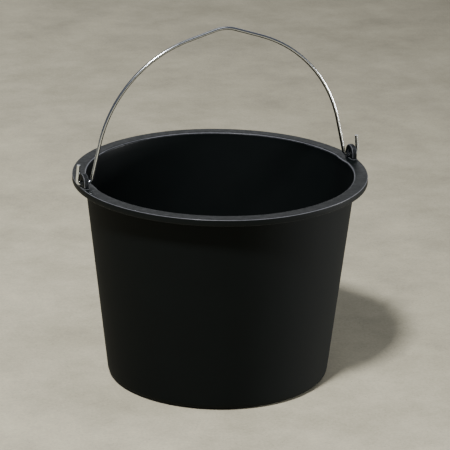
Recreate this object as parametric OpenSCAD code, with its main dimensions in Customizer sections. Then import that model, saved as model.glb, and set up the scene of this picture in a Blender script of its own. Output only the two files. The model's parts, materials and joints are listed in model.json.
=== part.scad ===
// Florist bucket: a one-piece moulded tub with a turned-down rim and two ears,
// and a wire bail whose hooked ends swing in the ears.
// Millimetres. +Z is up, the origin is the centre of the base, and the ears stand on the X axis.

/* [Tub] */
// Outer diameter over the rim
rim_d = 320; // [240:1:400]
// Outer diameter of the foot, before its rounded edge
base_d = 242; // [160:1:250]
// Height from the ground to the top of the rim
tub_h = 229; // [120:1:320]
// Thickness of the wall, the floor, the rim and its lip
wall = 2.2; // [1.6:0.1:3]
// Radius of the rounded edge where the wall meets the foot
foot_round = 8; // [5:0.5:14]
// How far the floor is raised above the ground
floor_lift = 3; // [1:0.5:6]
// Width of the foot ring, measured inwards from the wall
foot_ring = 12; // [10:0.5:20]

/* [Rim] */
// Width of the flat rim, from the wall's outer face to the rim's edge
rim_w = 12.8; // [10:0.1:20]
// Height of the rim with its turned-down lip
lip_h = 6.8; // [5:0.1:14]
// Radius of the rounded edge on the inside of the rim
rim_inner_round = 2.6; // [1:0.1:3]
// Radius of the rounded edge on the outside of the rim
rim_outer_round = 1.2; // [0.5:0.1:2]
// Number of stiffening ribs under the rim
rib_count = 24; // [8:2:48]
// Thickness of one rib
rib_t = 1.6; // [1:0.1:3]
// How far the ribs stop short of the lip's lower edge
rib_setback = 1; // [0.5:0.1:3]

/* [Ears] */
// Width of an ear, which is also the width of its round top
ear_w = 20; // [16:0.5:30]
// Thickness of an ear
ear_t = 5.5; // [4:0.1:7]
// Height of an ear's straight sides above the rim
ear_side_h = 5; // [3:0.5:12]
// How far an ear stands in from the rim's edge
ear_setback = 1.3; // [0.8:0.1:3]
// Radius of an ear's rounded edges
ear_round = 1.3; // [0.5:0.1:1.6]
// Diameter of the hole that the wire turns in
hole_d = 6.4; // [5:0.1:9]

/* [Bail] */
// Diameter of the wire
wire_d = 3.8; // [3:0.1:5]
// Gap between the wire and the lowest point of its hole
wire_gap = 0.1; // [0.05:0.05:0.5]
// Height of the wire's axis above the rim where it passes through the ears
hinge_lift = 4.2; // [3.6:0.1:8]
// Height of the centre of the arch above the rim
arch_lift = 13.8; // [0:0.1:60]
// How far the legs lean from upright
leg_lean = 13; // [4:0.5:25]
// Radius of the bend at the foot of each leg
foot_bend_r = 6; // [4:0.5:12]
// Gap between the foot bend and the ear
foot_gap = 0.9; // [0.5:0.1:4]
// How steeply the wire climbs from the arch to its crest
crest_slope = 17; // [8:0.5:30]
// Radius of the bend at the crest
crest_bend_r = 40; // [15:1:60]
// How far the crest is turned off the middle of the arch, towards +X
crest_turn = 1.5; // [0:0.5:5]
// Radius of the bend at the root of each hook
hook_bend_r = 4; // [3:0.5:8]
// Gap between the ear and the hook's bend
hook_gap = 0.3; // [0.2:0.1:2]
// How far the hooks lean back over the ears
hook_lean = 5; // [0:1:8]
// Straight length of each hook
hook_l = 16.4; // [8:0.2:30]
// Radius of the rounded wire ends
end_round = 0.8; // [0.3:0.1:1.2]

/* [Hidden] */
$fn = 96;

rim_r = rim_d / 2;
base_r = base_d / 2;
// The wall's outer face, carried up to the top of the rim
wall_top_r = rim_r - rim_w;
taper = (wall_top_r - base_r) / tub_h;
wall_angle = atan(taper);
floor_z = floor_lift + wall;
lip_z = tub_h - lip_h;
inner_corner_round = foot_round - wall;

ear_out_x = rim_r - ear_setback;
ear_in_x = ear_out_x - ear_t;
// Centre of an ear's round top
ear_centre_z = tub_h + ear_side_h;

wire_r = wire_d / 2;
hinge_z = tub_h + hinge_lift;
// The wire lies near the bottom of its larger hole
hole_z = hinge_z + (hole_d - wire_d) / 2 - wire_gap;

foot_turn = 90 - leg_lean;
foot_tangent = foot_bend_r * tan(foot_turn / 2);
foot_corner_x = ear_in_x - foot_gap - foot_tangent;
arch_centre_z = tub_h + arch_lift;
// The arch is the circle that runs tangent into both legs
arch_r = (foot_corner_x - (arch_lift - hinge_lift) * tan(leg_lean)) * cos(leg_lean);
leg_l = (arch_lift - hinge_lift + arch_r * sin(leg_lean)) / cos(leg_lean) - foot_tangent;
flank_l = (arch_r - crest_bend_r) * tan(crest_slope);
pin_l = ear_t + foot_gap + hook_gap;
// Bends are a hair thicker than the straight wire, so that each run ends inside its bends
bend_swell = 0.02;
joint_overlap = 0.2;

// Points along an arc, from angle a0 to a1
function arc(centre, r, a0, a1, n = 8) =
    [for (i = [0:n]) centre + r * [cos(a0 + (a1 - a0) * i / n), sin(a0 + (a1 - a0) * i / n)]];

function outer_r(z) = base_r + taper * z;
function inner_r(z) = outer_r(z) - wall / cos(wall_angle);

// Half section of the tub, from the axis under the floor and round the outside
module tub_section() {
    // The round edge of the foot touches the ground and the sloping wall
    foot_centre = [outer_r(foot_round) - foot_round / cos(wall_angle), foot_round];
    inside_centre = [
        inner_r(floor_z + inner_corner_round) - inner_corner_round / cos(wall_angle),
        floor_z + inner_corner_round
    ];
    under_rim_z = tub_h - wall;
    ring_in_r = foot_centre[0] + foot_round - foot_ring;
    rim_in_centre = [
        inner_r(tub_h - rim_inner_round) + rim_inner_round / cos(wall_angle),
        tub_h - rim_inner_round
    ];
    rim_out_centre = [rim_r - rim_outer_round, tub_h - rim_outer_round];
    polygon(concat(
        [[0, floor_lift], [ring_in_r - floor_lift, floor_lift], [ring_in_r, 0]],
        arc(foot_centre, foot_round, -90, -wall_angle),
        [[outer_r(under_rim_z), under_rim_z], [rim_r - wall, under_rim_z], [rim_r - wall, lip_z], [rim_r, lip_z]],
        arc(rim_out_centre, rim_outer_round, 0, 90, 4),
        arc(rim_in_centre, rim_inner_round, 90, 180 - wall_angle, 6),
        arc(inside_centre, inner_corner_round, -wall_angle, -90),
        [[0, floor_z]]
    ));
}

// Ribs across the channel between the wall and the lip
module rim_ribs() {
    rib_low_z = lip_z + rib_setback;
    rib_in_r = outer_r(rib_low_z) - wall / 2;
    for (i = [0:rib_count - 1]) {
        rotate([0, 0, (i + 0.5) * 360 / rib_count])
            translate([rib_in_r, -rib_t / 2, rib_low_z])
                cube([rim_r - wall / 2 - rib_in_r, rib_t, tub_h - wall / 2 - rib_low_z]);
    }
}

// A plate's section, seen from above, with round corners
module plate_section(size_x, size_y, r) {
    square([size_x - 2 * r, size_y], center = true);
    square([size_x, size_y - 2 * r], center = true);
    for (sx = [-1, 1]) {
        for (sy = [-1, 1]) {
            translate([sx * (size_x / 2 - r), sy * (size_y / 2 - r)])
                circle(r, $fn = 32);
        }
    }
}

// The ear on the +X side: an upright plate whose top is half a disc with the same round edges
module ear() {
    ear_root_z = tub_h - wall / 2;
    translate([ear_in_x + ear_t / 2, 0, 0]) {
        translate([0, 0, ear_root_z])
            linear_extrude(ear_centre_z - ear_root_z)
                plate_section(ear_t, ear_w, ear_round);
        translate([0, 0, ear_centre_z])
            rotate([90, 0, 90])
                rotate_extrude(angle = 180, $fn = 64)
                    rotate([0, 0, 90])
                        intersection() {
                            plate_section(ear_t, ear_w, ear_round);
                            translate([-ear_t, -ear_w]) square([2 * ear_t, ear_w]);
                        }
    }
}

module tub() {
    color([0.03, 0.03, 0.032])
        difference() {
            union() {
                rotate_extrude($fn = 180) tub_section();
                rim_ribs();
                ear();
                rotate([0, 0, 180]) ear();
            }
            for (s = [0, 180]) {
                rotate([0, 0, s])
                    translate([ear_in_x - 1, 0, hole_z])
                        rotate([0, 90, 0])
                            cylinder(h = ear_t + 2, d = hole_d, $fn = 64);
            }
        }
}

// A straight stretch of wire along +X, whose ends reach a little way into the bends beside it
module wire_run(l) {
    translate([-joint_overlap, 0, 0])
        rotate([0, 90, 0])
            cylinder(h = l + 2 * joint_overlap, r = wire_r, $fn = 48);
}

// A bend that starts along +X and turns by a degrees, upwards if a is positive
module wire_bend(r, a) {
    up = sign(a);
    translate([0, 0, up * r])
        rotate([90, 0, 0])
            rotate([0, 0, up > 0 ? -90 : 90 + a])
                rotate_extrude(angle = abs(a))
                    translate([r, 0]) circle(wire_r + bend_swell, $fn = 48);
}

// A wire end with a round edge
module wire_end() {
    rotate([0, 90, 0])
        rotate_extrude($fn = 48)
            polygon(concat([[0, 0], [wire_r, 0]], arc([wire_r - end_round, 0], end_round, 0, 90, 5), [[0, end_round]]));
}

// Follows a list of steps, each one [length] for a run or [radius, turn] for a bend
module wire_path(steps, i = 0) {
    if (i < len(steps)) {
        s = steps[i];
        if (len(s) == 1) {
            wire_run(s[0]);
            translate([s[0], 0, 0]) wire_path(steps, i + 1);
        } else {
            up = sign(s[1]);
            wire_bend(s[0], s[1]);
            translate([s[0] * sin(abs(s[1])), 0, up * s[0] * (1 - cos(s[1]))])
                rotate([0, -s[1], 0])
                    wire_path(steps, i + 1);
        }
    } else {
        wire_end();
    }
}

module bail() {
    hook = [[hook_bend_r, 90 + hook_lean], [hook_l]];
    arch_turn = 90 - leg_lean - crest_slope;
    up_to_crest = [[pin_l], [foot_bend_r, foot_turn], [leg_l], [arch_r, -arch_turn - crest_turn], [flank_l]];
    down_from_crest = [[flank_l], [arch_r, crest_turn - arch_turn], [leg_l], [foot_bend_r, foot_turn], [pin_l]];
    color([0.72, 0.73, 0.74])
        translate([-ear_out_x - hook_gap, 0, hinge_z]) {
            wire_path(concat(up_to_crest, [[crest_bend_r, -2 * crest_slope]], down_from_crest, hook));
            mirror([1, 0, 0]) wire_path(hook);
        }
}

tub();
bail();
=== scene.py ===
"""Florist bucket: a moulded black tub with a swinging wire bail, dressed around its CAD frame."""
import json
import math

import bmesh
import bpy
from bpy.props import FloatProperty, FloatVectorProperty, IntProperty, PointerProperty
from mathutils import Matrix, Vector


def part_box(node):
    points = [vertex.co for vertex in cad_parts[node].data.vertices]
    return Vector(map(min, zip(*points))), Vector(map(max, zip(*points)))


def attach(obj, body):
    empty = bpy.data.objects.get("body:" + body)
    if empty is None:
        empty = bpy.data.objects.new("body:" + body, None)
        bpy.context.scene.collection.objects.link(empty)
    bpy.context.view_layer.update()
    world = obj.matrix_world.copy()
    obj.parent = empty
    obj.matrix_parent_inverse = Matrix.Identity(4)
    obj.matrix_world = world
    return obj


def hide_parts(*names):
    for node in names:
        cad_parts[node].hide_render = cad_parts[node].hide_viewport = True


bl_info = {
    "name": "Florist Bucket",
    "version": (1, 0, 0),
    "blender": (4, 5, 0),
    "location": "View3D > Sidebar > Bucket",
    "description": "Builds a moulded tub with ears, its wire bail, and a plain studio around them",
    "category": "Object",
}

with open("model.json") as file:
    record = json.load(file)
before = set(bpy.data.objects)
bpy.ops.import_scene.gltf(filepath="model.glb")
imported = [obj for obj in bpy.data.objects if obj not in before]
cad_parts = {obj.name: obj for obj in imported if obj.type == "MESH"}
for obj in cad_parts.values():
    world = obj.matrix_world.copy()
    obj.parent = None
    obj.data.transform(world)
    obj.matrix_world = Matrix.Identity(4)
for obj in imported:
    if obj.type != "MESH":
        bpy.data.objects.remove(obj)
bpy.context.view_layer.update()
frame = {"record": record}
MM = 0.001

# The far corner of the tub's CAD box: its radius and the top of its ears
TUB_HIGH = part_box("tub")[1]
HINGE = frame["record"]["behaviour"]["joints"][0]["pos_m"]

# Steps from the axis across the floor, and up the wall
FLOOR_STEPS, WALL_STEPS = 12, 24
WIRE_SIDES = 24
# Edges that turn more than this many degrees stay sharp
TUB_CREASE, WIRE_CREASE = 40, 50
# Points closer than this are one point
MERGE = 1e-6
# How far an ear's root and its fillet are sunk into the rim
EAR_SUNK, FILLET_SUNK = 1.0 * MM, 0.25 * MM
# Where the swelling under an ear starts and where it is full, measured down from the rim
BOSS_START, BOSS_FULL = 30 * MM, 10 * MM
# Waves round the rim: how many, how strong, and where they start in radians
RIM_WAVES = ((3, 0.3, 0.8), (7, 0.2, 0.0))
# How much rubbing and painted highlight the top of the rim and the narrow sides of the ears get; sharp edges
# are 1
TOP_RUB_AND_HIGHLIGHT, EAR_RUB_AND_HIGHLIGHT = 0.5, 0.6
# Name, place with the camera towards -Y, width in metres, and power in watts
LIGHTS = (
    ("key", (-0.88, -2.32, 4.2), 0.55, 298.0),
    ("top", (0.7, -0.4, 2.8), 1.2, 5.5),
    ("edge", (2.35, 0.3, 0.28), 0.6, 58.0),
    ("back", (0.0, 3.4, 1.4), 2.4, 12.0),
)


# ---------------------------------------------------------------- sizes and colours

def linear(hex_colour):
    """An sRGB hex colour as linear RGBA."""
    channels = [int(hex_colour[i:i + 2], 16) / 255 for i in (1, 3, 5)]
    return [c / 12.92 if c <= 0.04045 else ((c + 0.055) / 1.055) ** 2.4 for c in channels] + [1.0]


def length(name, description, millimetres):
    """A length property whose default is given in millimetres."""
    return FloatProperty(name=name, description=description, default=millimetres * MM,
                         min=0.0, unit="LENGTH", precision=4)


def angular(name, description, degrees):
    """An angle property whose default is given in degrees."""
    return FloatProperty(name=name, description=description, default=math.radians(degrees), subtype="ANGLE")


def colour(name, description, hex_colour):
    """A colour property whose default is an sRGB hex value."""
    return FloatVectorProperty(name=name, description=description, default=linear(hex_colour),
                               size=4, min=0.0, max=1.0, subtype="COLOR")


class BucketTub(bpy.types.PropertyGroup):
    """Sizes and finish of the moulded tub."""
    rim_radius: length("Rim radius", "Outer radius of the turned-down rim", TUB_HIGH[1] / MM)
    height: length("Height", "Ground to the top of the rim", 229.0)
    foot_radius: length("Foot radius", "Outer radius of the foot, before its rounded edge", 121.0)
    wall: length("Wall", "Thickness of the wall, floor, rim and lip", 2.2)
    foot_round: length("Foot rounding", "Radius of the edge between wall and foot", 8.0)
    floor_lift: length("Floor lift", "How far the floor is raised above the ground", 3.0)
    foot_ring: length("Foot ring", "Width of the ring that the tub stands on", 12.0)
    rim_width: length("Rim width", "From the wall's outer face to the rim's edge", 12.8)
    lip_height: length("Lip height", "Height of the turned-down lip", 6.8)
    rim_inner_round: length("Inner rim rounding", "Radius of the rim's inside edge", 2.6)
    rim_outer_round: length("Outer rim rounding", "Radius of the rim's outside edge", 1.2)
    rib_thickness: length("Rib thickness", "Thickness of one rib under the rim", 1.6)
    rib_setback: length("Rib setback", "How far the ribs stop short of the lip's edge", 1.0)
    rib_count: IntProperty(name="Ribs", description="Ribs under the rim", default=24, min=0)
    segments: IntProperty(name="Segments", description="Steps round the tub", default=240, min=24)
    warp: length("Rim warp", "How far cooling has pulled the rim out of true", 0.5)
    plastic: colour("Plastic", "Colour of the black polyethylene", "#060a0a")
    # The scuff grey is partly wear and partly a painted highlight on the edges of rim and ears
    scuffed_and_highlit: colour("Scuffed plastic", "Colour of the plastic where it is rubbed", "#525357")
    # This pale colour is a painted highlight along the sharpest edges of rim and ears
    painted_highlight: colour("Bare edges", "Colour of the sharpest edges, which are worn pale", "#85868b")


class BucketEar(bpy.types.PropertyGroup):
    """Sizes of the two ears."""
    width: length("Width", "Width of an ear and of its round top", 20.0)
    thickness: length("Thickness", "Thickness of an ear", 5.5)
    side_height: length("Side height", "Height of the straight sides above the rim", 5.0)
    setback: length("Setback", "How far an ear stands in from the rim's edge", 1.3)
    edge_round: length("Edge rounding", "Radius of an ear's edges", 1.3)
    hole: length("Hole", "Diameter of the hole for the wire", 6.4)
    hole_round: length("Hole rounding", "Radius of the hole's edges", 0.5)
    fillet: length("Fillet", "Radius where an ear meets the rim", 1.0)
    boss: length("Boss", "How far the wall swells inwards under an ear", 1.2)


class BucketBail(bpy.types.PropertyGroup):
    """Sizes and finish of the wire bail."""
    wire: length("Wire", "Diameter of the wire", 3.8)
    wire_gap: length("Wire gap", "Gap between the wire and the lowest point of its hole", 0.1)
    arch_lift: length("Arch lift", "Height of the arch's centre above the rim", 13.8)
    foot_bend: length("Foot bend", "Radius of the bend at the foot of each leg", 6.0)
    foot_gap: length("Foot gap", "Gap between the foot bend and the ear", 0.9)
    crest_bend: length("Crest bend", "Radius of the bend at the crest", 40.0)
    hook_bend: length("Hook bend", "Radius of the bend at the root of each hook", 4.0)
    hook_gap: length("Hook gap", "Gap between the ear and the hook's bend", 0.3)
    hook_length: length("Hook length", "Straight length of each hook", 16.4)
    end_round: length("End rounding", "Radius of the wire's cut ends", 0.8)
    leg_lean: angular("Leg lean", "Lean of the legs from upright", 13)
    crest_slope: angular("Crest slope", "Climb of the wire to its crest", 17)
    crest_turn: angular("Crest turn", "How far the crest is off the middle", 1.5)
    hook_lean: angular("Hook lean", "Lean of the hooks over the ears", 5)
    zinc: colour("Zinc", "Colour of the galvanised wire", "#d6d9dc")


class BucketStudio(bpy.types.PropertyGroup):
    """The floor, the lights and the camera."""
    floor_colour: colour("Floor", "Colour of the plain floor", "#c7c0a8")
    floor_size: length("Floor size", "Width of the floor", 24000.0)
    sky_colour: colour("Sky", "Colour of the light from all round", "#d6e2fb")
    sky_strength: FloatProperty(name="Sky strength", description="Strength of the light from all round",
                                default=0.12, min=0.0)
    lens: FloatProperty(name="Lens", description="Focal length in millimetres", default=208.0, min=1.0)
    distance: length("Distance", "Level distance from the tub's axis to the camera", 2677.7)
    camera_height: length("Camera height", "Height of the camera above the ground", 1098.7)
    bearing: angular("Bearing", "Turn of the view away from square to the ears", 22.2)
    pan: angular("Pan", "Turn of the camera to the right of the tub's axis", 0.13178)
    tilt: angular("Tilt", "How far the camera looks down", 19.16544)
    roll: angular("Roll", "How far the camera leans to one side", 0.86517)


# ---------------------------------------------------------------- mesh helpers

def arc(centre, radius, start, end, steps):
    """Points along an arc in the plane, with angles in degrees."""
    angles = [math.radians(start + (end - start) * i / steps) for i in range(steps + 1)]
    return [(centre[0] + radius * math.cos(a), centre[1] + radius * math.sin(a)) for a in angles]


def mesh_object(name, vertices, edges=(), faces=()):
    """A new object in the scene with this mesh."""
    mesh = bpy.data.meshes.new(name)
    mesh.from_pydata([tuple(v) for v in vertices], list(edges), list(faces))
    mesh.update()
    made = bpy.data.objects.new(name, mesh)
    bpy.context.scene.collection.objects.link(made)
    return made


def evaluated_copy(source, name):
    """A plain mesh object holding what the source's modifiers make; the source is removed."""
    depsgraph = bpy.context.evaluated_depsgraph_get()
    mesh = bpy.data.meshes.new_from_object(source.evaluated_get(depsgraph))
    mesh.name = name
    made = bpy.data.objects.new(name, mesh)
    bpy.context.scene.collection.objects.link(made)
    bpy.data.objects.remove(source)
    return made


def grid_faces(rows, columns, close_rows=True, close_columns=True):
    """Quads between points laid out row by row, closed round each way where asked."""
    row_steps = rows if close_rows else rows - 1
    column_steps = columns if close_columns else columns - 1
    quads = []
    for r in range(row_steps):
        for c in range(column_steps):
            r2, c2 = (r + 1) % rows, (c + 1) % columns
            quads.append((r * columns + c, r * columns + c2, r2 * columns + c2, r2 * columns + c))
    return quads


def tidy_normals(piece):
    """Merges doubled points and turns every face outwards."""
    bm = bmesh.new()
    bm.from_mesh(piece.data)
    bmesh.ops.remove_doubles(bm, verts=bm.verts, dist=MERGE)
    bmesh.ops.dissolve_degenerate(bm, edges=bm.edges, dist=MERGE)
    bmesh.ops.recalc_face_normals(bm, faces=bm.faces)
    bm.to_mesh(piece.data)
    bm.free()


def require_closed(piece):
    """Stops the build if a piece is empty or has an open edge."""
    bm = bmesh.new()
    bm.from_mesh(piece.data)
    closed = len(bm.faces) > 0 and all(len(edge.link_faces) == 2 for edge in bm.edges)
    bm.free()
    if not closed:
        raise RuntimeError(f"{piece.name} did not come out as a closed mesh")


def unite(base, *others):
    """Joins closed meshes into one skin."""
    for other in others:
        join = base.modifiers.new("unite", "BOOLEAN")
        join.operation = "UNION"
        join.solver = "EXACT"
        join.object = other
    made = evaluated_copy(base, base.name)
    for other in others:
        bpy.data.objects.remove(other)
    return made


def shade_by_angle(piece, degrees):
    """Smooth shading that keeps edges sharper than this angle."""
    piece.data.shade_smooth()
    bm = bmesh.new()
    bm.from_mesh(piece.data)
    limit = math.radians(degrees)
    for edge in bm.edges:
        edge.smooth = len(edge.link_faces) == 2 and edge.calc_face_angle(0.0) < limit
    bm.to_mesh(piece.data)
    bm.free()


# ---------------------------------------------------------------- node helpers

def add(tree, kind, inputs=None, **settings):
    """Adds a node with its settings; inputs gives a value or a socket to link for each input."""
    node = tree.nodes.new(kind)
    for key, value in settings.items():
        setattr(node, key, value)
    for key, value in (inputs or {}).items():
        if isinstance(value, bpy.types.NodeSocket):
            tree.links.new(value, node.inputs[key])
        else:
            node.inputs[key].default_value = value
    return node


def geometry_tree(name, sockets):
    """A new geometry tree with a geometry input and output and these named inputs."""
    tree = bpy.data.node_groups.new(name, "GeometryNodeTree")
    tree.interface.new_socket("Geometry", in_out="INPUT", socket_type="NodeSocketGeometry")
    for label, kind in sockets:
        tree.interface.new_socket(label, in_out="INPUT", socket_type=kind)
    tree.interface.new_socket("Geometry", in_out="OUTPUT", socket_type="NodeSocketGeometry")
    return tree, tree.nodes.new("NodeGroupInput")


def finish_tree(tree, geometry, material):
    """Ends a tree in Realize Instances and Set Material."""
    real = add(tree, "GeometryNodeRealizeInstances", {"Geometry": geometry})
    dressed = add(tree, "GeometryNodeSetMaterial", {"Geometry": real.outputs[0], "Material": material})
    add(tree, "NodeGroupOutput", {0: dressed.outputs[0]})


def run_tree(source, tree, values, name):
    """Runs a tree on an object with these named values and returns the plain mesh object."""
    modifier = source.modifiers.new(tree.name, "NODES")
    modifier.node_group = tree
    for item in tree.interface.items_tree:
        if item.in_out == "INPUT" and item.name in values:
            modifier[item.identifier] = values[item.name]
    return evaluated_copy(source, name)


def lathe_tree(material):
    """Turns a profile, given as a row of points in XZ, once round the Z axis."""
    tree, given = geometry_tree("Turned shell", [("Segments", "NodeSocketInt"), ("Merge", "NodeSocketFloat")])
    size = add(tree, "GeometryNodeAttributeDomainSize", {"Geometry": given.outputs["Geometry"]})
    columns = add(tree, "ShaderNodeMath", {0: given.outputs["Segments"], 1: 1.0}, operation="ADD")
    grid = add(tree, "GeometryNodeMeshGrid", {
        "Vertices X": columns.outputs[0], "Vertices Y": size.outputs["Point Count"]})
    index = add(tree, "GeometryNodeInputIndex")
    rows = size.outputs["Point Count"]
    row = add(tree, "ShaderNodeMath", {0: index.outputs[0], 1: rows}, operation="MODULO")
    quotient = add(tree, "ShaderNodeMath", {0: index.outputs[0], 1: rows}, operation="DIVIDE")
    column = add(tree, "ShaderNodeMath", {0: quotient.outputs[0]}, operation="FLOOR")
    share = add(tree, "ShaderNodeMath", {
        0: column.outputs[0], 1: given.outputs["Segments"]}, operation="DIVIDE")
    angle = add(tree, "ShaderNodeMath", {0: share.outputs[0], 1: math.tau}, operation="MULTIPLY")
    place = add(tree, "GeometryNodeInputPosition")
    point = add(tree, "GeometryNodeSampleIndex", {
        "Geometry": given.outputs["Geometry"], "Value": place.outputs[0], "Index": row.outputs[0]},
        data_type="FLOAT_VECTOR", domain="POINT")
    turned = add(tree, "ShaderNodeVectorRotate", {"Vector": point.outputs[0], "Angle": angle.outputs[0]},
                 rotation_type="Z_AXIS")
    moved = add(tree, "GeometryNodeSetPosition", {
        "Geometry": grid.outputs["Mesh"], "Position": turned.outputs[0]})
    merged = add(tree, "GeometryNodeMergeByDistance", {
        "Geometry": moved.outputs[0], "Distance": given.outputs["Merge"]})
    finish_tree(tree, merged.outputs[0], material)
    return tree


def ring_tree(material):
    """Repeats a shape round the Z axis, half a step away from the X axis."""
    tree, given = geometry_tree("Ring of ribs", [("Count", "NodeSocketInt")])
    points = add(tree, "GeometryNodeMeshLine", {"Count": given.outputs["Count"], "Offset": (0.0, 0.0, 0.0)})
    index = add(tree, "GeometryNodeInputIndex")
    half = add(tree, "ShaderNodeMath", {0: index.outputs[0], 1: 0.5}, operation="ADD")
    share = add(tree, "ShaderNodeMath", {0: half.outputs[0], 1: given.outputs["Count"]}, operation="DIVIDE")
    angle = add(tree, "ShaderNodeMath", {0: share.outputs[0], 1: math.tau}, operation="MULTIPLY")
    turn = add(tree, "ShaderNodeCombineXYZ", {"Z": angle.outputs[0]})
    placed = add(tree, "GeometryNodeInstanceOnPoints", {
        "Points": points.outputs[0], "Instance": given.outputs["Geometry"], "Rotation": turn.outputs[0]})
    finish_tree(tree, placed.outputs[0], material)
    return tree


def wire_tree(material):
    """Draws round wire along a path, and stores how far along and around each point lies."""
    tree, given = geometry_tree("Drawn wire", [("Radius", "NodeSocketFloat"), ("Sides", "NodeSocketInt")])
    path = add(tree, "GeometryNodeMeshToCurve", {"Mesh": given.outputs["Geometry"]})
    thickness = add(tree, "GeometryNodeInputNamedAttribute", {"Name": "thickness"}, data_type="FLOAT")
    sized = add(tree, "GeometryNodeSetCurveRadius", {
        "Curve": path.outputs[0], "Radius": thickness.outputs["Attribute"]})
    along = add(tree, "GeometryNodeSplineParameter")
    marked = add(tree, "GeometryNodeStoreNamedAttribute", {
        "Geometry": sized.outputs[0], "Name": "along", "Value": along.outputs["Length"]},
        data_type="FLOAT", domain="POINT")
    ring = add(tree, "GeometryNodeCurvePrimitiveCircle", {
        "Resolution": given.outputs["Sides"], "Radius": given.outputs["Radius"]})
    around = add(tree, "GeometryNodeSplineParameter")
    marked_ring = add(tree, "GeometryNodeStoreNamedAttribute", {
        "Geometry": ring.outputs[0], "Name": "around", "Value": around.outputs["Factor"]},
        data_type="FLOAT", domain="POINT")
    skin = add(tree, "GeometryNodeCurveToMesh", {
        "Curve": marked.outputs[0], "Profile Curve": marked_ring.outputs[0], "Fill Caps": True})
    finish_tree(tree, skin.outputs[0], material)
    return tree


# ---------------------------------------------------------------- materials

def new_material(name):
    """A material with a Principled shader, and its tree."""
    material = bpy.data.materials.new(name)
    material.use_nodes = True
    return material, material.node_tree, material.node_tree.nodes["Principled BSDF"]


def moulded_polyethylene(base_colour, scuff_and_highlight_colour, painted_highlight_colour):
    """Injection-moulded polyethylene, carbon black: a matt blasted skin, waxy where the rim sees rubbing,
    with a painted highlight along the edges of rim and ears.
    """
    material, tree, shader = new_material("moulded_black_polyethylene")
    shader.inputs["Specular IOR Level"].default_value = 0.12
    here = add(tree, "ShaderNodeTexCoord").outputs["Object"]
    # Cloudy differences in gloss, some 40 mm across, where the plastic cooled unevenly
    clouds = add(tree, "ShaderNodeTexNoise", {
        "Vector": here, "Scale": 25.0, "Detail": 3.0, "Roughness": 0.55})
    # Draw marks: fine upright lines about 2 mm apart, left as the tub slid off its core
    drawn = add(tree, "ShaderNodeMapping", {"Vector": here, "Scale": (1.0, 1.0, 0.05)})
    lines = add(tree, "ShaderNodeTexNoise", {
        "Vector": drawn.outputs[0], "Scale": 450.0, "Detail": 2.0, "Roughness": 0.5})
    # The mould's blasted grain is really some 0.1 mm and is drawn 0.7 mm wide, or it would not show
    grain = add(tree, "ShaderNodeTexNoise", {"Vector": here, "Scale": 1400.0, "Detail": 2.0})
    # Handling rubs the rim and its edges in streaks some 6 mm long; the same streaks break up the painted
    # highlight
    streaks = add(tree, "ShaderNodeTexNoise", {
        "Vector": here, "Scale": 180.0, "Detail": 4.0, "Roughness": 0.65})
    rubbed_and_highlit = add(tree, "ShaderNodeAttribute", attribute_name="rubbed_and_highlit")
    uneven = add(tree, "ShaderNodeMapRange", {
        "Value": streaks.outputs["Fac"], "From Min": 0.3, "From Max": 0.7, "To Min": 0.75, "To Max": 1.15})
    rub_and_highlight = add(tree, "ShaderNodeMath", {0: rubbed_and_highlit.outputs["Fac"], 1: uneven.outputs[0]}, operation="MULTIPLY")
    gloss = add(tree, "ShaderNodeMapRange", {
        "Value": rub_and_highlight.outputs[0], "From Min": 0.0, "From Max": 0.5, "To Min": 0.72, "To Max": 0.31})
    polish = add(tree, "ShaderNodeMapRange", {
        "Value": rub_and_highlight.outputs[0], "From Min": 0.5, "From Max": 1.0, "To Min": 0.0, "To Max": -0.12})
    worked = add(tree, "ShaderNodeMath", {0: gloss.outputs[0], 1: polish.outputs[0]}, operation="ADD")
    cloudy = add(tree, "ShaderNodeMath", {
        0: clouds.outputs["Fac"], 1: 0.06, 2: worked.outputs[0]}, operation="MULTIPLY_ADD")
    tree.links.new(cloudy.outputs[0], shader.inputs["Roughness"])
    # A thin bloom of dust lifts the black a little. Edges take a scuff grey that is partly wear and partly a
    # painted highlight
    dusty = [c * 1.5 + 0.0005 for c in base_colour[:3]] + [1.0]
    tint = add(tree, "ShaderNodeMix", {0: clouds.outputs["Fac"], 6: base_colour, 7: dusty}, data_type="RGBA")
    # The share of scuff grey, which carries both wear and painted highlight
    worn = add(tree, "ShaderNodeMapRange", {
        "Value": rub_and_highlight.outputs[0], "From Min": 0.5, "From Max": 1.0, "To Min": 0.0, "To Max": 1.0})
    scuffed_and_highlit = add(tree, "ShaderNodeMix", {
        0: worn.outputs[0], 6: tint.outputs[2], 7: scuff_and_highlight_colour}, data_type="RGBA")
    # Painted highlight: the sharpest edges are painted pale
    sharp = add(tree, "ShaderNodeMapRange", {
        "Value": rubbed_and_highlit.outputs["Fac"], "From Min": 0.86, "From Max": 1.0, "To Min": 0.0, "To Max": 0.62})
    pale = add(tree, "ShaderNodeMix", {
        0: sharp.outputs[0], 6: scuffed_and_highlit.outputs[2], 7: painted_highlight_colour}, data_type="RGBA")
    tree.links.new(pale.outputs[2], shader.inputs["Base Color"])
    relief = add(tree, "ShaderNodeMath", {
        0: lines.outputs["Fac"], 1: 0.5, 2: grain.outputs["Fac"]}, operation="MULTIPLY_ADD")
    bump = add(tree, "ShaderNodeBump", {"Height": relief.outputs[0], "Strength": 0.1, "Distance": 0.0003})
    tree.links.new(bump.outputs[0], shader.inputs["Normal"])
    return material


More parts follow.
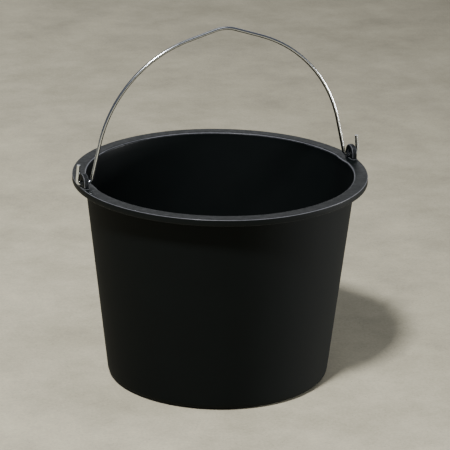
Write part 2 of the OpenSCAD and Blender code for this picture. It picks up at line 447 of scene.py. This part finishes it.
def galvanised_wire(zinc_colour):
    """Drawn steel wire, galvanised: bright zinc with a soft sheen, faintly mottled, and die lines."""
    material, tree, shader = new_material("galvanised_steel_wire")
    shader.inputs["Metallic"].default_value = 1.0
    here = add(tree, "ShaderNodeTexCoord").outputs["Object"]
    # Zinc patches of about 3 mm
    patches = add(tree, "ShaderNodeTexNoise", {
        "Vector": here, "Scale": 330.0, "Detail": 3.0, "Roughness": 0.6})
    dull = [c * 0.9 for c in zinc_colour[:3]] + [1.0]
    tone = add(tree, "ShaderNodeValToRGB", {"Fac": patches.outputs["Fac"]})
    tone.color_ramp.elements[0].position = 0.35
    tone.color_ramp.elements[0].color = dull
    tone.color_ramp.elements[1].position = 0.62
    tone.color_ramp.elements[1].color = zinc_colour
    tree.links.new(tone.outputs[0], shader.inputs["Base Color"])
    rough = add(tree, "ShaderNodeMapRange", {
        "Value": patches.outputs["Fac"], "From Min": 0.3, "From Max": 0.7, "To Min": 0.22, "To Max": 0.18})
    tree.links.new(rough.outputs[0], shader.inputs["Roughness"])
    # Die lines: some 24 round the wire, drawn out along it
    along = add(tree, "ShaderNodeAttribute", attribute_name="along")
    around = add(tree, "ShaderNodeAttribute", attribute_name="around")
    stretched = add(tree, "ShaderNodeMath", {0: along.outputs["Fac"], 1: 30.0}, operation="MULTIPLY")
    spread = add(tree, "ShaderNodeMath", {0: around.outputs["Fac"], 1: 24.0}, operation="MULTIPLY")
    lines_at = add(tree, "ShaderNodeCombineXYZ", {"X": stretched.outputs[0], "Y": spread.outputs[0]})
    lines = add(tree, "ShaderNodeTexNoise", {"Vector": lines_at.outputs[0], "Scale": 1.0, "Detail": 2.0})
    relief = add(tree, "ShaderNodeMath", {
        0: lines.outputs["Fac"], 1: 0.2, 2: patches.outputs["Fac"]}, operation="MULTIPLY_ADD")
    bump = add(tree, "ShaderNodeBump", {"Height": relief.outputs[0], "Strength": 0.012, "Distance": 0.0002})
    tree.links.new(bump.outputs[0], shader.inputs["Normal"])
    return material


def plain_floor(floor_colour):
    """A plain matt screed floor, pale and warm, with a slight mottle."""
    material, tree, shader = new_material("plain_matt_screed")
    here = add(tree, "ShaderNodeTexCoord").outputs["Object"]
    # Trowelled patches of some 110 mm, sand of about 3 mm, and sparse pores of 1 to 2 mm
    patches = add(tree, "ShaderNodeTexNoise", {
        "Vector": here, "Scale": 9.0, "Detail": 8.0, "Roughness": 0.72})
    sand = add(tree, "ShaderNodeTexNoise", {"Vector": here, "Scale": 300.0, "Detail": 2.0})
    mottle = add(tree, "ShaderNodeMath", {
        0: sand.outputs["Fac"], 1: 0.3, 2: patches.outputs["Fac"]}, operation="MULTIPLY_ADD")
    share = add(tree, "ShaderNodeMapRange", {"Value": mottle.outputs[0], "From Min": 0.45, "From Max": 0.85})
    worn = [c * 0.66 for c in floor_colour[:3]] + [1.0]
    tone = add(tree, "ShaderNodeMix", {0: share.outputs[0], 6: worn, 7: floor_colour}, data_type="RGBA")
    pores = add(tree, "ShaderNodeTexNoise", {"Vector": here, "Scale": 520.0, "Detail": 1.0})
    deep = add(tree, "ShaderNodeMapRange", {
        "Value": pores.outputs["Fac"], "From Min": 0.27, "From Max": 0.33, "To Min": 0.55, "To Max": 0.0})
    dark = [c * 0.35 for c in floor_colour[:3]] + [1.0]
    tint = add(tree, "ShaderNodeMix", {0: deep.outputs[0], 6: tone.outputs[2], 7: dark}, data_type="RGBA")
    # Painted light falloff: the floor is painted darker from its -X side to its +X side
    across = add(tree, "ShaderNodeSeparateXYZ", {0: here})
    painted_light_falloff = add(tree, "ShaderNodeMapRange", {
        "Value": across.outputs["X"], "From Min": -0.5, "From Max": 1.0, "To Min": 1.31, "To Max": 0.61})
    shade = add(tree, "ShaderNodeMix", {
        0: 1.0, 6: tint.outputs[2], 7: painted_light_falloff.outputs[0]}, data_type="RGBA", blend_type="MULTIPLY")
    tree.links.new(shade.outputs[2], shader.inputs["Base Color"])
    shader.inputs["Roughness"].default_value = 0.9
    shader.inputs["Specular IOR Level"].default_value = 0.2
    return material


# ---------------------------------------------------------------- the tub

def tub_radii(tub):
    """Functions for the wall's outer and inner radius at a height, and the wall's lean in radians."""
    taper = (tub.rim_radius - tub.rim_width - tub.foot_radius) / tub.height
    lean = math.atan(taper)

    def outer(z):
        return tub.foot_radius + taper * z

    def inner(z):
        return outer(z) - tub.wall / math.cos(lean)

    return outer, inner, lean


def tub_profile(tub):
    """Half section of the tub, from the axis under the floor, up the outside and down the inside."""
    outer, inner, lean = tub_radii(tub)
    tilt = math.degrees(lean)
    top, lip = tub.height, tub.height - tub.lip_height
    under_rim = top - tub.wall
    floor_top = tub.floor_lift + tub.wall
    soft = 0.3 * MM
    foot = (outer(tub.foot_round) - tub.foot_round / math.cos(lean), tub.foot_round)
    corner = tub.foot_round - tub.wall
    inside = (inner(floor_top + corner) - corner / math.cos(lean), floor_top + corner)
    ring_in = foot[0] + tub.foot_round - tub.foot_ring
    rim_in_z = top - tub.rim_inner_round
    rim_in = (inner(rim_in_z) + tub.rim_inner_round / math.cos(lean), rim_in_z)
    rim_out = (tub.rim_radius - tub.rim_outer_round, top - tub.rim_outer_round)
    lip_in, lip_out = tub.rim_radius - tub.wall, tub.rim_radius
    underside = [(ring_in * i / FLOOR_STEPS, tub.floor_lift) for i in range(FLOOR_STEPS)]
    underside[-1] = (ring_in - tub.floor_lift, tub.floor_lift)
    wall_low, wall_high = foot[1] + tub.foot_round * math.sin(-lean), under_rim - 2 * soft
    outside = [wall_low + (wall_high - wall_low) * i / WALL_STEPS for i in range(1, WALL_STEPS + 1)]
    rim_low = rim_in[1] + tub.rim_inner_round * math.sin(lean)
    floor_corner = inside[1] - corner * math.sin(lean)
    down = [rim_low + (floor_corner - rim_low) * i / WALL_STEPS for i in range(1, WALL_STEPS)]
    rim_shares = (0.06, 0.35, 0.65, 0.94)
    return (
        underside
        + [(ring_in - soft, soft), (ring_in + soft, 0.0)]
        + arc(foot, tub.foot_round, -90, -tilt, steps=12)
        + [(outer(z), z) for z in outside]
        + arc((outer(under_rim) + 2 * soft, under_rim - 2 * soft), 2 * soft, 180, 90, steps=4)
        + arc((lip_in - soft, under_rim - soft), soft, 90, 0, steps=2)
        + arc((lip_in + soft, lip + soft), soft, 180, 270, steps=3)
        + arc((lip_out - soft, lip + soft), soft, -90, 0, steps=3)
        + arc(rim_out, tub.rim_outer_round, 0, 90, steps=8)
        + [(rim_out[0] + (rim_in[0] - rim_out[0]) * t, top) for t in rim_shares]
        + arc(rim_in, tub.rim_inner_round, 90, 180 - tilt, steps=12)
        + [(inner(z), z) for z in down]
        + arc(inside, corner, -tilt, -90, steps=10)
        + [(inside[0] * (1 - i / FLOOR_STEPS), floor_top) for i in range(1, FLOOR_STEPS + 1)]
    )


def turn_tub(tub, material):
    """The turned shell of the tub."""
    profile = tub_profile(tub)
    points = [(r, 0.0, z) for r, z in profile]
    outline = mesh_object("tub_profile", points, [(i, i + 1) for i in range(len(points) - 1)])
    shell = run_tree(outline, lathe_tree(material), {"Segments": tub.segments, "Merge": MERGE}, "tub")
    tidy_normals(shell)
    return shell


def make_ribs(tub, material):
    """The ring of ribs in the channel under the rim."""
    outer = tub_radii(tub)[0]
    low = tub.height - tub.lip_height + tub.rib_setback
    high = tub.height - tub.wall / 2
    near, far = outer(low) - tub.wall / 2, tub.rim_radius - tub.wall / 2
    half = tub.rib_thickness / 2
    corners = [(x, y, z) for z in (low, high) for y in (-half, half) for x in (near, far)]
    sides = [(0, 2, 3, 1), (4, 5, 7, 6), (0, 1, 5, 4), (2, 6, 7, 3), (0, 4, 6, 2), (1, 3, 7, 5)]
    rib = mesh_object("rib", corners, faces=sides)
    ribs = run_tree(rib, ring_tree(material), {"Count": tub.rib_count}, "ribs")
    tidy_normals(ribs)
    return ribs


def ear_reach(ear, angle, inset, drop):
    """Distance from the hole's centre to the ear's outline, drawn in by inset, at an angle from +Y.

    The outline is a pair of upright sides under a round top; drop is how far the hole's centre lies
    below the centre of that top, and the root is cut square a little below the rim.
    """
    y, z = math.cos(angle), math.sin(angle)
    radius = ear.width / 2 - inset
    along = z * drop
    top = along + math.sqrt(max(along * along - drop * drop + radius * radius, 0.0))
    if top * z >= drop:
        return top
    side = radius / abs(y) if abs(y) > 1e-9 else math.inf
    root = (ear.side_height - drop + EAR_SUNK) / -z if z < 0 else math.inf
    return min(side, root)


def make_ear(tub, ear, hole_z):
    """One ear, on the +X side: a plate with a round top, a hole and soft edges."""
    steps, quarter = 144, 5
    half = ear.thickness / 2
    centre_x = tub.rim_radius - ear.setback - half
    drop = tub.height + ear.side_height - hole_z
    hole_r, edge_r = ear.hole_round, ear.edge_round
    # Across the plate, from the hole's edge to the outline: the hole's radius or the outline's inset, and x
    angles = [math.pi / 2 * i / quarter for i in range(quarter + 1)]
    section = [("hole", ear.hole / 2 + hole_r * (1 - math.sin(a)), half - hole_r * (1 - math.cos(a)))
               for a in reversed(angles)]
    section += [("outline", edge_r * (1 - math.sin(a)), half - edge_r * (1 - math.cos(a))) for a in angles]
    section += [(kind, amount, -x) for kind, amount, x in reversed(section)]
    vertices = []
    for i in range(steps):
        angle = math.tau * i / steps
        for kind, amount, x in section:
            reach = amount if kind == "hole" else ear_reach(ear, angle, amount, drop)
            vertices.append((centre_x + x, reach * math.cos(angle), hole_z + reach * math.sin(angle)))
    plate = mesh_object("ear", vertices, faces=grid_faces(steps, len(section)))
    tidy_normals(plate)
    return plate


def make_fillet(tub, ear):
    """The small concave band where an ear runs into the rim."""
    size, steps, lap = ear.fillet, 6, 0.04 * MM
    half_x, half_y = ear.thickness / 2, ear.width / 2
    centre_x = tub.rim_radius - ear.setback - half_x
    path = []
    for cx, cy, start in ((1, 1, 0), (-1, 1, 90), (-1, -1, 180), (1, -1, 270)):
        for i in range(steps + 1):
            a = math.radians(start + 90 * i / steps)
            corner = Vector((cx * (half_x - ear.edge_round), cy * (half_y - ear.edge_round)))
            normal = Vector((math.cos(a), math.sin(a)))
            path.append((corner + normal * ear.edge_round, normal))
    curve = arc((size, size - lap), size, 180, 270, steps)
    section = [(-FILLET_SUNK, curve[0][1])] + curve
    section += [(curve[-1][0], -2 * FILLET_SUNK), (-FILLET_SUNK, -2 * FILLET_SUNK)]
    vertices = []
    for place, normal in path:
        for out, up in section:
            spot = place + normal * out
            vertices.append((centre_x + spot.x, spot.y, tub.height + up))
    band = mesh_object("fillet", vertices, faces=grid_faces(len(path), len(section)))
    tidy_normals(band)
    return band


def half_turned(piece):
    """A copy of a piece turned half way round the Z axis."""
    made = bpy.data.objects.new(piece.name + "_far", piece.data.copy())
    made.data.transform(Matrix.Rotation(math.pi, 4, "Z"))
    bpy.context.scene.collection.objects.link(made)
    return made


def smooth_step(value, low, high):
    """0 below low, 1 above high, and a smooth rise between them."""
    t = min(max((value - low) / (high - low), 0.0), 1.0)
    return t * t * (3 - 2 * t)


def settle_moulding(piece, tub, ear):
    """Swells the wall under the ears and lets the rim dip where it cooled out of true."""
    outer, inner, _ = tub_radii(tub)
    for vertex in piece.data.vertices:
        x, y, z = vertex.co
        radius, around = math.hypot(x, y), math.atan2(y, x)
        middle = (outer(z) + inner(z)) / 2
        if radius < middle and z > tub.height / 2:
            across = 1 - smooth_step(abs(y), ear.width * 0.2, ear.width * 0.75)
            upward = smooth_step(z, tub.height - BOSS_START, tub.height - BOSS_FULL)
            swell = ear.boss * across * upward / radius
            x, y = x * (1 - swell), y * (1 - swell)
        # The dip has a few waves round the rim and dies out at the ears and down the wall
        waves = sum((share * math.sin(count * around + start) for count, share, start in RIM_WAVES), 0.5)
        dip = tub.warp * waves * math.sin(around) ** 2 * smooth_step(z, tub.height * 0.6, tub.height)
        vertex.co = (x, y, z - dip)
    piece.data.update()


def mark_rub_and_highlight(piece, tub, ear):
    """Stores how much rubbing and painted highlight each point gets, from 0 on the walls to 1 along the sharp
    edges of rim and ears.
    """
    lip, above_rim = tub.height - tub.lip_height - 1 * MM, tub.height + 0.3 * MM
    amounts = []
    for vertex in piece.data.vertices:
        x, y, z = vertex.co
        normal, radius = vertex.normal, math.hypot(x, y)
        beyond_wall = radius > tub.rim_radius - tub.rim_width - tub.wall
        under_rim = z < tub.height - tub.wall / 2 and radius < tub.rim_radius - tub.wall
        if z < lip or (under_rim and beyond_wall):
            amounts.append(0.0)
        elif z > above_rim:
            # The ears' narrow sides and rounded corners take a painted highlight
            across = math.sqrt(max(1 - normal.x ** 2, 0.0))
            edge = max(EAR_RUB_AND_HIGHLIGHT * across, 2 * abs(normal.x) * across)
            amounts.append(edge * smooth_step(z, tub.height + ear.fillet, tub.height + 2 * ear.fillet))
        else:
            # The rim's rounded edges, near 45 degrees, take painted highlight lines
            edge = 2 * abs(normal.z) * math.sqrt(max(1 - normal.z ** 2, 0.0))
            amounts.append(max(edge, TOP_RUB_AND_HIGHLIGHT * smooth_step(normal.z, 0.8, 1.0)))
    rubbed_and_highlit = piece.data.attributes.new("rubbed_and_highlit", "FLOAT", "POINT")
    rubbed_and_highlit.data.foreach_set("value", amounts)


class BUCKET_OT_tub(bpy.types.Operator):
    """Build the moulded tub with its rim, ribs and ears"""
    bl_idname = "bucket.tub"
    bl_label = "Build tub"

    def execute(self, context):
        tub, ear, bail = context.scene.bucket_tub, context.scene.bucket_ear, context.scene.bucket_bail
        material = moulded_polyethylene(list(tub.plastic), list(tub.scuffed_and_highlit), list(tub.painted_highlight))
        hole_z = HINGE[2] + (ear.hole - bail.wire) / 2 - bail.wire_gap
        shell = turn_tub(tub, material)
        near_ear, near_fillet = make_ear(tub, ear, hole_z), make_fillet(tub, ear)
        far_ear, far_fillet = half_turned(near_ear), half_turned(near_fillet)
        ribs = make_ribs(tub, material)
        piece = unite(shell, ribs, near_ear, near_fillet, far_ear, far_fillet)
        piece.name = piece.data.name = "moulded_tub"
        tidy_normals(piece)
        require_closed(piece)
        settle_moulding(piece, tub, ear)
        mark_rub_and_highlight(piece, tub, ear)
        shade_by_angle(piece, TUB_CREASE)
        piece.data.materials.clear()
        piece.data.materials.append(material)
        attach(piece, "tub")
        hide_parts("tub")
        return {"FINISHED"}


# ---------------------------------------------------------------- the bail

def bail_steps(tub, ear, bail):
    """The wire's route from ear to ear, and that of a hook.

    Each step is (length,) for a straight run or (radius, turn) for a bend, upwards if the turn is positive.
    """
    hinge_lift = HINGE[2] - tub.height
    ear_in = tub.rim_radius - ear.setback - ear.thickness
    foot_turn = math.pi / 2 - bail.leg_lean
    tangent = bail.foot_bend * math.tan(foot_turn / 2)
    corner_x = ear_in - bail.foot_gap - tangent
    rise = bail.arch_lift - hinge_lift
    arch = (corner_x - rise * math.tan(bail.leg_lean)) * math.cos(bail.leg_lean)
    leg = (rise + arch * math.sin(bail.leg_lean)) / math.cos(bail.leg_lean) - tangent
    flank = (arch - bail.crest_bend) * math.tan(bail.crest_slope)
    pin = ear.thickness + bail.foot_gap + bail.hook_gap
    turn = math.pi / 2 - bail.leg_lean - bail.crest_slope
    hook = [(bail.hook_bend, math.pi / 2 + bail.hook_lean), (bail.hook_length,)]
    foot = (bail.foot_bend, foot_turn)
    left = [(pin,), foot, (leg,), (arch, -turn - bail.crest_turn), (flank,)]
    right = [(flank,), (arch, bail.crest_turn - turn), (leg,), foot, (pin,)]
    return left + [(bail.crest_bend, -2 * bail.crest_slope)] + right, hook


def follow(steps, start, heading):
    """Points in XZ along a route of runs and bends."""
    points, place = [start], Vector(start)
    for step in steps:
        if len(step) == 1:
            place = place + step[0] * Vector((math.cos(heading), math.sin(heading)))
            points.append(tuple(place))
            continue
        radius, turn = step
        side = 1 if turn > 0 else -1
        centre = place + radius * side * Vector((-math.sin(heading), math.cos(heading)))
        count = max(8, round(abs(turn) / math.radians(2.0)))
        for i in range(1, count + 1):
            a = heading + turn * i / count
            points.append(tuple(centre - radius * side * Vector((-math.sin(a), math.cos(a)))))
        heading += turn
        place = Vector(points[-1])
    return points


def rounded_ends(points, radius, rounding, steps=5):
    """Adds points close to each end, and gives the share of full thickness at every point."""
    def towards_end(last, before):
        away = (Vector(before) - Vector(last)).normalized()
        extra = []
        for i in range(steps + 1):
            depth = rounding * (1 - math.cos(math.pi / 2 * i / steps))
            share = (radius - rounding + rounding * math.sin(math.pi / 2 * i / steps)) / radius
            extra.append((tuple(Vector(last) + away * depth), share))
        return extra

    first = towards_end(points[0], points[1])
    final = towards_end(points[-1], points[-2])[::-1]
    return first + [(p, 1.0) for p in points[1:-1]] + final


class BUCKET_OT_bail(bpy.types.Operator):
    """Build the galvanised wire bail"""
    bl_idname = "bucket.bail"
    bl_label = "Build bail"

    def execute(self, context):
        tub, ear, bail = context.scene.bucket_tub, context.scene.bucket_ear, context.scene.bucket_bail
        main, hook = bail_steps(tub, ear, bail)
        start = (-(tub.rim_radius - ear.setback + bail.hook_gap), HINGE[2])
        right_way = follow(main + hook, start, 0.0)
        left_hook = [(2 * start[0] - x, z) for x, z in follow(hook, start, 0.0)[1:]]
        ends = rounded_ends(left_hook[::-1] + right_way, bail.wire / 2, bail.end_round)
        path = mesh_object("wire_path", [(x, 0.0, z) for (x, z), _ in ends],
                           [(i, i + 1) for i in range(len(ends) - 1)])
        thickness = path.data.attributes.new("thickness", "FLOAT", "POINT")
        thickness.data.foreach_set("value", [share for _, share in ends])
        wire = wire_tree(galvanised_wire(list(bail.zinc)))
        piece = run_tree(path, wire, {"Radius": bail.wire / 2, "Sides": WIRE_SIDES}, "wire_bail")
        tidy_normals(piece)
        require_closed(piece)
        shade_by_angle(piece, WIRE_CREASE)
        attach(piece, "bail")
        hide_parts("bail")
        return {"FINISHED"}


# ---------------------------------------------------------------- the studio

def soft_light(name, place, target, size, watts):
    """Adds a square soft light that faces the target."""
    lamp = bpy.data.lights.new(name, "AREA")
    lamp.shape = "SQUARE"
    lamp.size = size
    lamp.energy = watts
    made = bpy.data.objects.new(name, lamp)
    made.location = place
    made.rotation_euler = (Vector(target) - Vector(place)).to_track_quat("-Z", "Y").to_euler()
    bpy.context.scene.collection.objects.link(made)


class BUCKET_OT_studio(bpy.types.Operator):
    """Set out the floor, the lights and the camera"""
    bl_idname = "bucket.studio"
    bl_label = "Set out studio"

    def execute(self, context):
        studio = context.scene.bucket_studio
        half = studio.floor_size / 2
        corners = [(-half, -half, 0), (half, -half, 0), (half, half, 0), (-half, half, 0)]
        floor = mesh_object("floor", corners, faces=[(0, 1, 2, 3)])
        floor.data.materials.append(plain_floor(list(studio.floor_colour)))
        self.set_lights(context, studio)
        self.set_camera(context, studio)
        return {"FINISHED"}

    def set_lights(self, context, studio):
        """Hangs the soft lights, which turn with the view, and lights the room faintly."""
        turned = Matrix.Rotation(-studio.bearing, 3, "Z")
        middle = (0.0, 0.0, TUB_HIGH[2] / 2)
        for name, place, size, watts in LIGHTS:
            soft_light(name, turned @ Vector(place), middle, size, watts)
        world = bpy.data.worlds.new("studio")
        world.use_nodes = True
        background = world.node_tree.nodes["Background"]
        background.inputs["Color"].default_value = list(studio.sky_colour)
        background.inputs["Strength"].default_value = studio.sky_strength
        context.scene.world = world

    def set_camera(self, context, studio):
        """Looks down at the tub from the front, a little rolled, with the ears turned off square."""
        pan, tilt, roll = studio.pan, studio.tilt, studio.roll
        forward = Vector((math.sin(pan) * math.cos(tilt), math.cos(pan) * math.cos(tilt), -math.sin(tilt)))
        level = Vector((math.cos(pan), -math.sin(pan), 0.0))
        upward = level.cross(forward)
        across = level * math.cos(roll) + upward * math.sin(roll)
        up = upward * math.cos(roll) - level * math.sin(roll)
        axes = Matrix((across, up, -forward)).transposed()
        turned = Matrix.Rotation(-studio.bearing, 3, "Z")
        lens = bpy.data.cameras.new("camera")
        lens.lens = studio.lens
        lens.sensor_width = 36.0
        lens.clip_end = 60.0
        made = bpy.data.objects.new("camera", lens)
        place = turned @ Vector((0.0, -studio.distance, studio.camera_height))
        made.matrix_world = Matrix.Translation(place) @ (turned @ axes).to_4x4()
        context.scene.collection.objects.link(made)
        context.scene.camera = made


# ---------------------------------------------------------------- the add-on

class BUCKET_PT_panel(bpy.types.Panel):
    """Sizes and colours of the bucket"""
    bl_label = "Florist Bucket"
    bl_idname = "BUCKET_PT_panel"
    bl_space_type = "VIEW_3D"
    bl_region_type = "UI"
    bl_category = "Bucket"

    def draw(self, context):
        groups = (("bucket_tub", "bucket.tub"), ("bucket_ear", None),
                  ("bucket_bail", "bucket.bail"), ("bucket_studio", "bucket.studio"))
        for group, operator in groups:
            box = self.layout.box()
            settings = getattr(context.scene, group)
            for key in type(settings).__annotations__:
                box.prop(settings, key)
            if operator:
                box.operator(operator)


GROUPS = {
    "bucket_tub": BucketTub,
    "bucket_ear": BucketEar,
    "bucket_bail": BucketBail,
    "bucket_studio": BucketStudio,
}
CLASSES = (*GROUPS.values(), BUCKET_OT_tub, BUCKET_OT_bail, BUCKET_OT_studio, BUCKET_PT_panel)


def register():
    """Registers the classes and hangs the settings on the scene."""
    for cls in CLASSES:
        bpy.utils.register_class(cls)
    for name, group in GROUPS.items():
        setattr(bpy.types.Scene, name, PointerProperty(type=group))


def unregister():
    """Takes the settings and the classes away again."""
    for name in GROUPS:
        delattr(bpy.types.Scene, name)
    for cls in reversed(CLASSES):
        bpy.utils.unregister_class(cls)


def main():
    """Builds the bucket and its studio."""
    register()
    bpy.ops.bucket.studio()
    bpy.ops.bucket.tub()
    bpy.ops.bucket.bail()
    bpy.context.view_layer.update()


if __name__ == "__main__":
    main()
